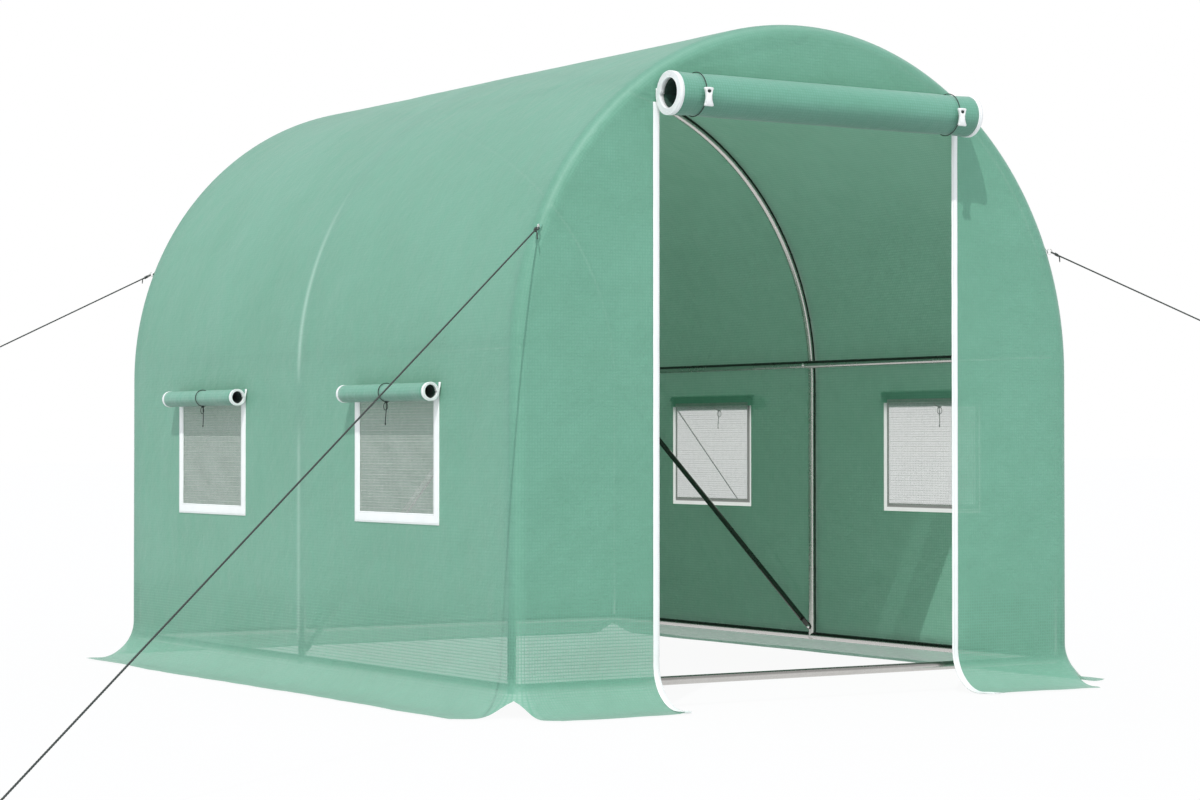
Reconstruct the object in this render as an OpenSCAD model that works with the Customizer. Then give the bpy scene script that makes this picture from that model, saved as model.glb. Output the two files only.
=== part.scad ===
// Walk-in polytunnel greenhouse: tube hoops under a sewn sheet cover, with a roll-up door in the front end,
// roll-up flaps over four net windows, a flared ground skirt and four guy ropes.
// X runs across the tunnel, Y along it with the door at -Y, and Z up from the ground. Millimetres.

/* [Tunnel] */
// Length of the covered tunnel over the end sheets
tunnel_length = 2600; // [2300:10:3600]
// Width of the covered tunnel over the side sheets
tunnel_width = 2000; // [1800:10:2400]
// Height from the ground to the top of the cover
tunnel_height = 1960; // [1900:10:2200]
// Outer radius of the cover where it turns over the end hoops
edge_radius = 40; // [30:1:60]
// Thickness of the cover sheet
sheet_t = 2; // [1.5:0.1:3]

/* [Ground skirt] */
// Height at which the cover starts to flare outwards
skirt_radius = 125; // [90:1:150]
// Width of the skirt, from the wall's outer face to its hem
skirt_reach = 180; // [160:1:260]
// Rounding of the hem's corners at the split corners of the tunnel
hem_corner = 60; // [30:1:90]
// Rounding of the hem's corners beside the door
door_hem_corner = 30; // [15:1:60]
// Distance outside the walls at which the skirts part at a corner
corner_split = 10; // [4:1:25]

/* [Steel frame] */
// Diameter of the hoop, purlin and rail tubes
tube_d = 25; // [20:1:28]
// Wall of the tubes
tube_wall = 1.5; // [1:0.1:2.5]
// Height of the base rails' centre line
rail_height = 75; // [40:1:110]
// Height of the side purlins above the spring line of the arches
purlin_rise = 55; // [20:5:140]
// Straight length of each hoop arch below its spring line
arch_tail = 80; // [70:1:120]
// Length of the spigot that joins a leg to its arch
spigot_length = 60; // [40:1:65]
// Diameter of the diagonal braces
brace_d = 19; // [15:1:22]
// Thickness of the braces' flattened ends
brace_tongue_t = 4; // [3:0.5:6]
// Length of the braces' flattened ends
brace_tongue_length = 45; // [35:1:60]

/* [Door] */
// Clear width between the door's two edges
door_width = 1060; // [800:10:1200]
// Depth of the header sheet above the door, in the middle
header_depth = 260; // [200:5:400]
// Width of the white binding along the door's edges
binding_w = 20; // [12:1:30]
// Thickness of the bindings
binding_t = 2; // [1:0.1:4]
// Diameter of the rolled-up door
roll_d = 124; // [108:1:140]
// Diameter of the hollow in the rolled-up door
roll_hollow_d = 84; // [70:1:94]
// Length by which the rolled-up door stands out past each door edge
roll_overhang = 30; // [22:1:60]
// Height of the rolled-up door's centre above the header's lower edge
roll_rise = 18; // [0:1:40]
// Turns of sheet in the rolled-up door
roll_turns = 5; // [2:1:5]
// Thickness of the sheet in the rolled-up door and flaps
roll_sheet_t = 1.2; // [0.8:0.1:1.6]
// Width of the white bands round the rolled-up door's ends
roll_binding_w = 14; // [8:1:20]
// Distance of each tie from its end of the rolled-up door
tie_inset = 105; // [60:5:250]
// Diameter of the tie cords
tie_d = 3; // [2:0.1:5]
// Height of the toggles' middle below the rolled-up door's centre
toggle_drop = 14; // [0:1:22]

/* [Windows] */
// Width of a window over its border
window_w = 510; // [400:5:600]
// Height of a window over its border
window_h = 400; // [300:5:420]
// Distance of a window's upper edge below the spring line of the arches
window_drop = 50; // [45:5:120]
// Width of the window border
border_w = 32; // [20:1:40]
// Thickness of the window border
border_t = 2; // [1:0.1:3]
// Thickness of the window net
net_t = 1; // [0.8:0.1:2]
// Width of net sewn to the wall outside the opening
net_lap = 15; // [8:1:18]
// Diameter of a rolled-up window flap
flap_roll_d = 54; // [49:1:64]
// Diameter of the hollow in a rolled-up flap
flap_hollow_d = 34; // [28:1:39]
// Turns of sheet in a rolled-up flap
flap_turns = 3; // [1:1:3]
// Length that a rolled-up flap stands out past the border at each side
flap_overhang = 10; // [0:1:40]
// Height of the rolled-up flap's centre below the window's upper edge
flap_drop = 20; // [5:1:40]
// Length of the loose end of a window tie
tie_tail = 65; // [40:1:120]

/* [Guy ropes] */
// Angle above the spring line at which a guy rope leaves the end hoop
guy_angle = 22; // [10:1:40]
// Diameter of the guy ropes
rope_d = 5; // [3:0.5:8]
// Distance of the pegs outside the side walls
peg_out = 2120; // [1000:10:2400]
// Distance of the pegs beyond the ends
peg_ahead = 1640; // [700:10:2100]
// Height of the pegs above the ground
peg_height = 50; // [30:1:90]
// Diameter of the pegs' rod
peg_d = 8; // [5:1:12]
// Inside radius of the pegs' hook
peg_hook_r = 11; // [8:1:16]
// Inside radius of the rings that the ropes are tied to
ring_r = 6; // [5:1:20]
// Diameter of the rings' wire
ring_wire = 3; // [2:0.5:6]

/* [Hidden] */
$fn = 64;
arch_fn = 180;

sheet_green = [0.46, 0.69, 0.59];
flap_green = [0.40, 0.64, 0.54];
binding_white = [0.95, 0.97, 0.94];
net_grey = [0.72, 0.76, 0.73];
tube_grey = [0.74, 0.73, 0.70];
cord_dark = [0.16, 0.20, 0.18];
ring_steel = [0.75, 0.76, 0.77];

// Clearances: a seat between a piece and what carries it, and an overrun for cuts
seat_gap = 0.3;
overrun = 5;

// Tunnel outline
half_w = tunnel_width / 2;
half_l = tunnel_length / 2;
spring_z = tunnel_height - half_w;
face_r = half_w - edge_radius;
wall_length = tunnel_length - 2 * edge_radius;
flare_top = skirt_radius + sheet_t;

// Steel frame: the hoops lie against the sheet, and the purlins lie inside the hoops
tube_r = tube_d / 2;
bore_d = tube_d - 2 * tube_wall;
hoop_r = half_w - sheet_t - seat_gap - tube_r;
hoop_y = half_l - edge_radius;
purlin_r = hoop_r - tube_d - seat_gap;
purlin_angle = asin(purlin_rise / purlin_r);
purlin_length = 2 * hoop_y + tube_d;
joint_z = spring_z - arch_tail;
leg_foot = rail_height - tube_r;
leg_length = joint_z - leg_foot;
spigot_d = bore_d - 2 * seat_gap;
shoulder_t = 2 * tube_wall;
brace_r = brace_d / 2;
brace_x = hoop_r - tube_r - seat_gap - brace_tongue_t / 2;
brace_low = [0, rail_height + tube_r + brace_d];
brace_high = [hoop_y, spring_z + purlin_rise - tube_r - brace_d];

// Door: the ties go round the roll, and the roll hangs from them in front of the header
door_half = door_width / 2;
door_top = tunnel_height - header_depth;
roll_r = roll_d / 2;
band_r = roll_r + seat_gap + binding_t;
tie_ring_r = roll_r + seat_gap + tie_d / 2;
roll_y = -half_l - seat_gap - tie_d - seat_gap - roll_r;
roll_z = door_top + roll_rise;
roll_length = door_width + 2 * roll_overhang;
tie_offset = roll_length / 2 - tie_inset;
toggle_w = 30;
toggle_h = 52;
toggle_t = 10;
toggle_waist_r = 26;
toggle_waist_cut = 5;
toggle_hole_d = 9;

// Windows: one in the middle of each bay
window_y = hoop_y / 2;
window_top = spring_z - window_drop;
opening_w = window_w - 2 * border_w;
opening_h = window_h - 2 * border_w;
window_z = window_top - window_h / 2;
flap_r = flap_roll_d / 2;
flap_tie_r = flap_r + seat_gap + tie_d / 2;
flap_x = half_w + border_t + 2 * seat_gap + tie_d + flap_r;
flap_z = window_top - flap_drop;
flap_length = window_w + 2 * flap_overhang;

// Guy ropes: a ring stands off the rounded end edge, and the rope runs from it to its peg
peg_x = half_w + peg_out;
peg_y = half_l + peg_ahead;
ring_mid_r = ring_r + ring_wire / 2;
ring_out_r = ring_r + ring_wire;
anchor_dir = [cos(guy_angle), -1, sin(guy_angle)] / sqrt(2);
edge_mid = [face_r * cos(guy_angle), -hoop_y, spring_z + face_r * sin(guy_angle)];
anchor_seat = edge_mid + edge_radius * anchor_dir;
ring_centre = anchor_seat + (seat_gap + ring_out_r) * anchor_dir;
rope_foot = [peg_x, -peg_y, peg_height];
rope_run = rope_foot - ring_centre;
rope_dir = rope_run / norm(rope_run);
rope_start = ring_centre + (ring_out_r + seat_gap) * rope_dir;
rope_length = norm(rope_run) - ring_out_r - peg_d / 2 - 2 * seat_gap;
hook_r = peg_hook_r + peg_d / 2;

// Steps in one turn of a rolled sheet
coil_steps = 24;

// Placing

// Draws its children at the right, and again mirrored to the left
module both_sides() {
    children();
    mirror([1, 0, 0]) children();
}

// Draws its children at the front, and again mirrored to the back
module both_ends() {
    children();
    mirror([0, 1, 0]) children();
}

module left_side() {
    mirror([1, 0, 0]) children();
}

// Turns +Z to point along a direction
module aim(dir) {
    rotate([0, acos(dir[2] / norm(dir)), atan2(dir[1], dir[0])]) children();
}

// Extrudes an X-Z outline along Y, centred
module along_y(length) {
    translate([0, length / 2, 0]) rotate([90, 0, 0]) linear_extrude(length) children();
}

// Extrudes a Y-Z outline along X, centred
module along_x(length) {
    translate([-length / 2, 0, 0]) rotate([90, 0, 90]) linear_extrude(length) children();
}

// Tubes

module tube(length, d = tube_d) {
    difference() {
        cylinder(h = length, d = d);
        translate([0, 0, -overrun]) cylinder(h = length + 2 * overrun, d = d - 2 * tube_wall);
    }
}

// Arch of one hoop: a half circle with a short straight tail at each end
module hoop_arch(y) {
    color(tube_grey) translate([0, y, spring_z]) {
        rotate([90, 0, 0]) rotate_extrude(angle = 180, $fn = arch_fn) translate([hoop_r, 0]) difference() {
            circle(d = tube_d);
            circle(d = bore_d);
        }
        both_sides() translate([hoop_r, 0, -arch_tail]) tube(arch_tail);
    }
}

// Leg of a hoop: it ends level with the underside of the rails, and its top is reduced to a spigot in the arch
module hoop_leg() {
    difference() {
        union() {
            cylinder(h = leg_length - seat_gap, d = tube_d);
            cylinder(h = leg_length + spigot_length, d = spigot_d);
        }
        translate([0, 0, -overrun]) cylinder(h = leg_length - shoulder_t + overrun, d = bore_d);
        translate([0, 0, -overrun]) {
            cylinder(h = leg_length + spigot_length + 2 * overrun, d = spigot_d - 2 * tube_wall);
        }
    }
}

module hoop_legs(y) {
    color(tube_grey) both_sides() translate([hoop_r, y, leg_foot]) hoop_leg();
}

// Purlin along the inside of the hoops, at an angle round the arch
module purlin(angle) {
    color(tube_grey) translate([purlin_r * cos(angle), purlin_length / 2, spring_z + purlin_r * sin(angle)]) {
        rotate([90, 0, 0]) tube(purlin_length);
    }
}

// Space that a leg takes out of the end of a rail, so that the rail's end is coped to it
module leg_cope(x, y) {
    translate([x, y, 0]) cylinder(h = joint_z, d = tube_d + 2 * seat_gap);
}

// Side rail: one tube in each bay, coped to the legs
module side_base_rail() {
    color(tube_grey) difference() {
        translate([hoop_r, hoop_y, rail_height]) rotate([90, 0, 0]) tube(2 * hoop_y);
        for (y = [-hoop_y, 0, hoop_y]) leg_cope(hoop_r, y);
    }
}

// Rail across an end, coped to the two corner legs
module end_base_rail(y) {
    color(tube_grey) difference() {
        translate([-hoop_r, y, rail_height]) rotate([0, 90, 0]) tube(2 * hoop_r);
        for (x = [-hoop_r, hoop_r]) leg_cope(x, y);
    }
}

// Flattened end of a brace, drawn at the origin with the tube leading away along +Z
module brace_end() {
    hole_d = brace_d / 3;
    difference() {
        union() {
            rotate([0, 90, 0]) cylinder(h = brace_tongue_t, d = brace_d, center = true);
            translate([-brace_tongue_t / 2, -brace_r, 0]) {
                cube([brace_tongue_t, brace_d, brace_tongue_length]);
            }
        }
        rotate([0, 90, 0]) cylinder(h = brace_tongue_t + overrun, d = hole_d, center = true);
    }
}

// Right diagonal brace: it runs from the foot of the middle leg to the shoulder of the back leg
module side_brace() {
    run = brace_high - brace_low;
    length = norm(run);
    color(tube_grey) translate([brace_x, brace_low[0], brace_low[1]]) rotate([-atan2(run[0], run[1]), 0, 0]) {
        brace_end();
        translate([0, 0, length]) rotate([180, 0, 0]) brace_end();
        translate([0, 0, brace_tongue_length]) cylinder(h = length - 2 * brace_tongue_length, d = brace_d);
    }
}

// The left brace stands in the front bay, so that the two are opposite each other
module side_braces() {
    side_brace();
    rotate([0, 0, 180]) side_brace();
}

// Cover outlines

// Upper half of a ring about the origin
module half_ring(outer, inner) {
    difference() {
        circle(r = outer, $fn = arch_fn);
        circle(r = inner, $fn = arch_fn);
        translate([-outer, -2 * outer]) square(2 * outer);
    }
}

// Quarter of a ring about the origin, between +X and +Y
module quarter_ring(outer, inner) {
    intersection() {
        difference() {
            circle(r = outer);
            circle(r = inner);
        }
        square(outer);
    }
}

// Outline of an end of the tunnel inside its rounded edge
module tunnel_face() {
    translate([0, spring_z]) circle(r = face_r, $fn = arch_fn);
    translate([-face_r, 0]) square([2 * face_r, spring_z]);
}

// Section through the flared skirt: X runs outwards from the wall's outer face, and Y up
module skirt_section() {
    translate([skirt_radius, flare_top]) rotate(180) quarter_ring(flare_top, skirt_radius);
    translate([skirt_radius, 0]) square([skirt_reach - skirt_radius, sheet_t]);
}

// Section through a side wall with its skirt
module wall_section() {
    skirt_section();
    translate([-sheet_t, flare_top]) square([sheet_t, spring_z - flare_top]);
}

// Section through a door binding, which lies on the outside of a panel and of its skirt
module binding_section() {
    rise = roll_z - roll_r - flare_top - tie_d - seat_gap;
    inner_r = skirt_radius - seat_gap;
    translate([skirt_radius, flare_top]) rotate(180) quarter_ring(inner_r, inner_r - binding_t);
    translate([skirt_radius, sheet_t + seat_gap]) square([skirt_reach - skirt_radius, binding_t]);
    translate([seat_gap, flare_top]) square([binding_t, rise]);
}

// Plan of the gap between two skirts, with the hem's corners rounded off, drawn from the corner of the walls
module corner_gap_plan() {
    inner = skirt_reach - hem_corner;
    translate([corner_split, corner_split]) square(2 * skirt_reach);
    hem_round(inner);
    mirror([1, -1]) hem_round(inner);
}

// Piece cut from the corner of a hem to round it
module hem_round(inner) {
    translate([inner, corner_split - hem_corner]) difference() {
        square([hem_corner + skirt_reach, hem_corner]);
        circle(r = hem_corner);
    }
}

// Cover

// Corner of the cover: a rounded upright above a flared foot, split where the two skirts part
module cover_corner() {
    difference() {
        translate([half_w - edge_radius, -hoop_y, 0]) rotate([0, 0, -90]) {
            rotate_extrude(angle = 90) translate([edge_radius, 0]) wall_section();
        }
        translate([half_w, -half_l, -overrun]) mirror([0, 1, 0]) {
            linear_extrude(flare_top + overrun) corner_gap_plan();
        }
    }
}

module window_cut() {
    translate([half_w, window_y, window_z]) cube([tube_d, opening_w, opening_h], center = true);
}

// Right wall: a sheet with two window openings, its skirt, and the rounded corners at both ends
module wall_cover() {
    color(sheet_green) {
        difference() {
            translate([half_w, 0, 0]) along_y(wall_length) wall_section();
            both_ends() window_cut();
        }
        both_ends() cover_corner();
    }
}

// Rounded end edge of the roof
module roof_end() {
    translate([0, -hoop_y, spring_z]) rotate([90, 0, 0]) rotate_extrude(angle = 180, $fn = arch_fn) {
        translate([face_r, 0]) quarter_ring(edge_radius, edge_radius - sheet_t);
    }
}

module roof_cover() {
    color(sheet_green) {
        translate([0, 0, spring_z]) along_y(wall_length) half_ring(half_w, half_w - sheet_t);
        both_ends() roof_end();
    }
}

// Skirt along the front end, between two places across it
module front_skirt(from_x, to_x) {
    translate([(from_x + to_x) / 2, -half_l, 0]) rotate([0, 0, -90]) along_y(to_x - from_x) skirt_section();
}

// Flat sheet in the plane of the front end, cut to an outline
module front_sheet() {
    translate([0, -half_l + sheet_t, 0]) rotate([90, 0, 0]) linear_extrude(sheet_t) children();
}

// Piece cut from a skirt to round its hem beside the door
module door_hem_cut() {
    translate([door_half + door_hem_corner, -half_l - skirt_reach + door_hem_corner, -overrun]) {
        linear_extrude(flare_top) difference() {
            translate([-door_hem_corner - overrun, -door_hem_corner - overrun]) square(door_hem_corner + overrun);
            circle(r = door_hem_corner);
        }
    }
}

// Front sheet to the right of the door, with its skirt
module front_panel() {
    color(sheet_green) {
        difference() {
            front_skirt(door_half, face_r);
            door_hem_cut();
        }
        front_sheet() intersection() {
            tunnel_face();
            translate([door_half, flare_top]) square([half_w, tunnel_height]);
        }
    }
}

module front_header() {
    color(sheet_green) front_sheet() intersection() {
        tunnel_face();
        translate([-door_half, door_top]) square([door_width, tunnel_height]);
    }
}

// Back end: one closed sheet with its skirt
module back_panel() {
    color(sheet_green) mirror([0, 1, 0]) {
        front_skirt(-face_r, face_r);
        front_sheet() intersection() {
            tunnel_face();
            translate([-half_w, flare_top]) square([tunnel_width, tunnel_height]);
        }
    }
}

// Door

// Point on a spiral that grows from a radius by an amount over a number of steps
function coil_point(start_r, growth, i, steps) =
    let (a = 360 * i / coil_steps, r = start_r + growth * i / steps) [r * cos(a), r * sin(a)];

// Section of a sheet rolled up from a hollow to an outer radius
module rolled_section(hollow_r, outer_r, turns) {
    steps = turns * coil_steps;
    growth = outer_r - roll_sheet_t - hollow_r;
    outer = [for (i = [0:steps]) coil_point(hollow_r + roll_sheet_t, growth, i, steps)];
    inner = [for (i = [steps:-1:0]) coil_point(hollow_r, growth, i, steps)];
    polygon(concat(outer, inner));
}

// Cord ring about the X axis
module tie_ring(radius) {
    rotate([0, 90, 0]) rotate_extrude() translate([radius, 0]) circle(d = tie_d);
}

module door_binding() {
    color(binding_white) difference() {
        translate([door_half + binding_w / 2, -half_l, 0]) rotate([0, 0, -90]) {
            along_y(binding_w) binding_section();
        }
        door_hem_cut();
    }
}

module door_roll() {
    color(sheet_green) translate([0, roll_y, roll_z]) along_x(roll_length) {
        rolled_section(roll_hollow_d / 2, roll_r, roll_turns);
    }
}

// White bands round the two ends of the roll
module door_roll_bindings() {
    color(binding_white) both_sides() translate([roll_length / 2 - roll_binding_w, roll_y, roll_z]) {
        rotate([0, 90, 0]) difference() {
            cylinder(h = roll_binding_w, r = band_r);
            translate([0, 0, -overrun]) cylinder(h = roll_binding_w + 2 * overrun, r = roll_r + seat_gap);
        }
    }
}

module door_ties() {
    color(cord_dark) both_sides() translate([tie_offset, roll_y, roll_z]) tie_ring(tie_ring_r);
}

// Waisted toggle plate with a cord hole, flat in the X-Y plane
module toggle_plate() {
    waist_x = toggle_w / 2 + toggle_waist_r - toggle_waist_cut;
    linear_extrude(toggle_t) difference() {
        square([toggle_w, toggle_h], center = true);
        for (side = [-1, 1]) translate([side * waist_x, 0]) circle(r = toggle_waist_r);
        translate([0, toggle_h / 2 - toggle_hole_d]) circle(d = toggle_hole_d);
    }
}

module door_toggles() {
    color(binding_white) both_sides() {
        translate([tie_offset, roll_y - tie_ring_r - tie_d / 2 - seat_gap, roll_z - toggle_drop]) {
            rotate([90, 0, 0]) toggle_plate();
        }
    }
}

// Windows, drawn for the right wall's back bay and mirrored to the others

module window_ring() {
    difference() {
        square([window_w, window_h], center = true);
        square([opening_w, opening_h], center = true);
    }
}

// White border outside the wall, and another inside over the net
module window_border() {
    color(binding_white) {
        translate([half_w, window_y, window_z]) rotate([90, 0, 90]) linear_extrude(border_t) window_ring();
        translate([half_w - sheet_t - net_t - border_t, window_y, window_z]) {
            rotate([90, 0, 90]) linear_extrude(border_t) window_ring();
        }
    }
}

// Net panel sewn to the inside of the wall
module window_net() {
    color(net_grey) translate([half_w - sheet_t - net_t, window_y, window_z]) {
        rotate([90, 0, 90]) linear_extrude(net_t) {
            square([opening_w + 2 * net_lap, opening_h + 2 * net_lap], center = true);
        }
    }
}

module window_flap() {
    color(flap_green) translate([flap_x, window_y, flap_z]) along_y(flap_length) {
        mirror([1, 0]) rolled_section(flap_hollow_d / 2, flap_r, flap_turns);
    }
}

// Cord round a rolled flap
module window_tie() {
    color(cord_dark) translate([flap_x, window_y, flap_z]) rotate([0, 0, 90]) tie_ring(flap_tie_r);
}

// Loose end of a window's tie, below the rolled flap
module window_tie_tail() {
    color(cord_dark) translate([flap_x, window_y, flap_z - flap_tie_r - tie_d / 2 - seat_gap - tie_tail]) {
        cylinder(h = tie_tail, d = tie_d);
    }
}

// Guy ropes, drawn for the front right corner and mirrored to the others

module guy_rope() {
    color(cord_dark) translate(rope_start) aim(rope_dir) cylinder(h = rope_length, d = rope_d);
}

module guy_ring() {
    color(ring_steel) translate(ring_centre) aim(cross(anchor_dir, rope_dir)) {
        rotate_extrude() translate([ring_mid_r, 0]) circle(d = ring_wire);
    }
}

// Peg: a rod that rises from the ground and hooks over, away from the tunnel
module ground_peg() {
    color(ring_steel) translate([peg_x, -peg_y, 0]) rotate([0, 0, atan2(-rope_dir[1], -rope_dir[0]) + 180]) {
        cylinder(h = peg_height, d = peg_d);
        translate([hook_r, 0, peg_height]) rotate([90, 0, 0]) {
            rotate_extrude(angle = 180) translate([hook_r, 0]) circle(d = peg_d);
        }
    }
}

hoop_arch(-hoop_y);  // front_arch
hoop_arch(0);  // middle_arch
hoop_arch(hoop_y);  // back_arch
hoop_legs(-hoop_y);  // front_legs
hoop_legs(0);  // middle_legs
hoop_legs(hoop_y);  // back_legs
purlin(90);  // ridge_pole
purlin(180 - purlin_angle);  // left_purlin
purlin(purlin_angle);  // right_purlin
left_side() side_base_rail();  // left_base_rail
side_base_rail();  // right_base_rail
end_base_rail(-hoop_y);  // front_sill_rail
end_base_rail(hoop_y);  // back_base_rail
side_braces();
roof_cover();
left_side() wall_cover();  // left_wall_cover
wall_cover();  // right_wall_cover
back_panel();
left_side() front_panel();  // front_left_panel
front_panel();  // front_right_panel
front_header();
left_side() door_binding();  // left_door_binding
door_binding();  // right_door_binding
door_roll();
door_roll_bindings();
door_ties();
door_toggles();
left_side() mirror([0, 1, 0]) window_border();  // front_left_window_border
left_side() mirror([0, 1, 0]) window_net();  // front_left_window_net
left_side() mirror([0, 1, 0]) window_flap();  // front_left_window_flap
left_side() window_border();  // back_left_window_border
left_side() window_net();  // back_left_window_net
left_side() window_flap();  // back_left_window_flap
mirror([0, 1, 0]) window_border();  // front_right_window_border
mirror([0, 1, 0]) window_net();  // front_right_window_net
mirror([0, 1, 0]) window_flap();  // front_right_window_flap
window_border();  // back_right_window_border
window_net();  // back_right_window_net
window_flap();  // back_right_window_flap
both_sides() both_ends() window_tie();  // window_ties
both_sides() both_ends() window_tie_tail();  // window_tie_tails
left_side() both_ends() guy_rope();  // left_guy_ropes
both_ends() guy_rope();  // right_guy_ropes
both_sides() both_ends() guy_ring();  // guy_rings
both_sides() both_ends() ground_peg();  // ground_pegs
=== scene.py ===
from math import acos, asin, ceil, copysign, cos, exp, hypot, pi, radians, sin, sqrt

import bmesh
import bpy
import numpy as np
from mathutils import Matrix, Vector, noise


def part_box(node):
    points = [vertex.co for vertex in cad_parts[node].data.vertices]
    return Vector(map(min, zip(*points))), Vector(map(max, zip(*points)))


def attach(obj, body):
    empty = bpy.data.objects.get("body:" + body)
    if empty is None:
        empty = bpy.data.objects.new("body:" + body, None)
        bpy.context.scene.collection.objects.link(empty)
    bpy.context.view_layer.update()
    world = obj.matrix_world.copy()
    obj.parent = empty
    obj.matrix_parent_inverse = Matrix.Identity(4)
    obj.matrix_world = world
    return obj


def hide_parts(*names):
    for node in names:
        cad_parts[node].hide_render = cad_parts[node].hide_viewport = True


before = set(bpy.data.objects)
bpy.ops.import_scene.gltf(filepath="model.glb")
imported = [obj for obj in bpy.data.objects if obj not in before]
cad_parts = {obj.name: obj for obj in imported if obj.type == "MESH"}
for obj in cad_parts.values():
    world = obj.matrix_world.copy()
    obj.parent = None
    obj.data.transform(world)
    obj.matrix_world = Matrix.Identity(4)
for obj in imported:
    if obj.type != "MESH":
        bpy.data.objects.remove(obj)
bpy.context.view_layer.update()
scene = bpy.context.scene
scene.view_settings.view_transform = "Standard"

# Sizes of the fixed frame, in metres

SIDES = (("left", -1), ("right", 1))
ENDS = (("front", -1), ("back", 1))

roof_lo, roof_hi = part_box("roof_cover")
HW, HL = round(roof_hi.x, 4), round(roof_hi.y, 4)  # half of the tunnel's width and length
SPRING = round(roof_lo.z, 4)  # where the walls end and the arch begins
REACH = round(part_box("right_wall_cover")[1].x, 4) - HW  # the skirt, out from the wall
DOOR = round(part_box("front_right_panel")[0].x, 4)  # half of the doorway's width
DOOR_TOP = round(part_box("front_header")[0].z, 4)
EDGE = 0.040  # radius on which the cover turns over the end hoops
FLARE = 0.125  # radius on which a wall flares into its skirt
SPLIT = 0.010  # how far a skirt's side edge runs past the next wall
HEM_R, DOOR_R = 0.050, 0.030  # the skirts' rounded corners, at the tunnel's corners and beside the door
T = 0.001  # half of the solid sheet: the drawn sheet lies in its middle
FR, FY = HW - EDGE, HL - EDGE
FOOT = FLARE + 2 * T
MIDDLE = (0.0, 0.0, 0.8)  # a point inside, which the sheets face away from

band_lo, band_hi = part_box("door_roll_bindings")
ROLL_Y = (band_lo.y + band_hi.y) / 2
ROLL_Z = (band_lo.z + band_hi.z) / 2
ROLL_R = (band_hi.z - band_lo.z) / 2 - 0.0023  # inside the bound ends
ROLL_HALF = band_hi.x - 0.017  # shorter than the solid, as the photograph shows it
tog_lo, tog_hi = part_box("door_toggles")
TIE_X, TOGGLE_Z = tog_hi.x - 0.015, (tog_lo.z + tog_hi.z) / 2

win_lo, win_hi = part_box("back_right_window_border")
WIN_Y = (win_lo.y + win_hi.y) / 2
WIN_HALF = (win_hi.y - win_lo.y) / 2
WIN_Z0, WIN_Z1 = win_lo.z, win_hi.z
WINDOWS = [(f"{end}_{side}_window", sx, sy * WIN_Y) for side, sx in SIDES for end, sy in ENDS]
BORDER = 0.032  # width of a window's tape
HOLE = 0.006  # how far the tape's outer edge laps over the cover
FLAP_X, FLAP_Z, FLAP_R, FLAP_HALF = 1.0326, 0.890, 0.027, 0.265
PEG_X, PEG_Y = HW + 2.120, HL + 1.640
TUBE_R = 0.0125

# Materials


class Nodes:
    """The node tree of a material or the world, with short calls for the nodes that are needed here."""

    def __init__(self, owner, output):
        owner.use_nodes = True
        self.owner, self.tree = owner, owner.node_tree
        self.tree.nodes.clear()
        self.out = self.add(output)

    def add(self, kind, props=None, ins=None):
        n = self.tree.nodes.new("ShaderNode" + kind)
        for k, v in (props or {}).items():
            setattr(n, k, v)
        for k, v in (ins or {}).items():
            self.put(n.inputs[k], v)
        return n

    def put(self, socket, v):
        if isinstance(v, bpy.types.NodeSocket):
            self.tree.links.new(v, socket)
        else:
            socket.default_value = v

    def node(self, kind, ins):
        """The first output of a new node."""
        return self.add(kind, None, ins).outputs[0]

    def skin(self, col, rough, nrm, more=None):
        ins = {"Base Color": col, "Roughness": rough, "Normal": nrm}
        ins.update(more or {})
        return self.node("BsdfPrincipled", ins)

    def surface(self, shader):
        self.tree.links.new(shader, self.out.inputs["Surface"])
        return self.owner

    def math(self, op, a, b=0.0, clamp=False):
        return self.add("Math", {"operation": op, "use_clamp": clamp}, {0: a, 1: b}).outputs[0]

    def plus(self, a, b):
        return self.math("ADD", a, b)

    def minus(self, a, b):
        return self.math("SUBTRACT", a, b)

    def times(self, a, b):
        return self.math("MULTIPLY", a, b)

    def ramp(self, x, lo, hi, a=0.0, b=1.0):
        """a below lo, b above hi, and a smooth change between them."""
        props = {"interpolation_type": "SMOOTHSTEP"}
        return self.add("MapRange", props, {0: x, 1: lo, 2: hi, 3: a, 4: b}).outputs[0]

    def mix(self, f, a, b):
        return self.add("Mix", {"data_type": "RGBA"}, {0: f, 6: a, 7: b}).outputs[2]

    def noise(self, where, scale, detail, rough=0.5):
        ins = {"Vector": where, "Scale": scale, "Detail": detail, "Roughness": rough}
        return self.node("TexNoise", ins)

    def lines(self, x, pitch, width, soft):
        """1 on lines of that width at that pitch, and 0 between them."""
        return self.ramp(self.math("PINGPONG", x, pitch / 2), width / 2, width / 2 + soft, 1.0, 0.0)

    def parts(self, vector):
        return self.add("SeparateXYZ", None, {0: vector}).outputs

    def uv(self):
        at = self.parts(self.add("UVMap").outputs[0])
        return at[0], at[1]

    def place(self):
        return self.add("TexCoord").outputs["Object"]

    def join(self, x, y, z=0.0):
        return self.node("CombineXYZ", {0: x, 1: y, 2: z})

    def bump(self, height, strength, distance, normal=None):
        ins = {"Strength": strength, "Distance": distance, "Height": height}
        if normal is not None:
            ins["Normal"] = normal
        return self.node("Bump", ins)

    def attribute(self, name):
        return self.add("Attribute", {"attribute_name": name}).outputs["Fac"]

    def up(self, facing):
        """How far the surface faces upwards, -1 to 1."""
        return self.parts(facing.outputs["Normal"])[2]

    def seen(self):
        """1 where the background itself is seen, also in a reflection, and 0 where it lights the object."""
        ray = self.add("LightPath").outputs
        direct = self.math("MAXIMUM", ray["Is Camera Ray"], ray["Is Glossy Ray"])
        return self.math("MAXIMUM", direct, ray["Is Transmission Ray"])


def material(name):
    return Nodes(bpy.data.materials.new(name), "OutputMaterial")


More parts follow.
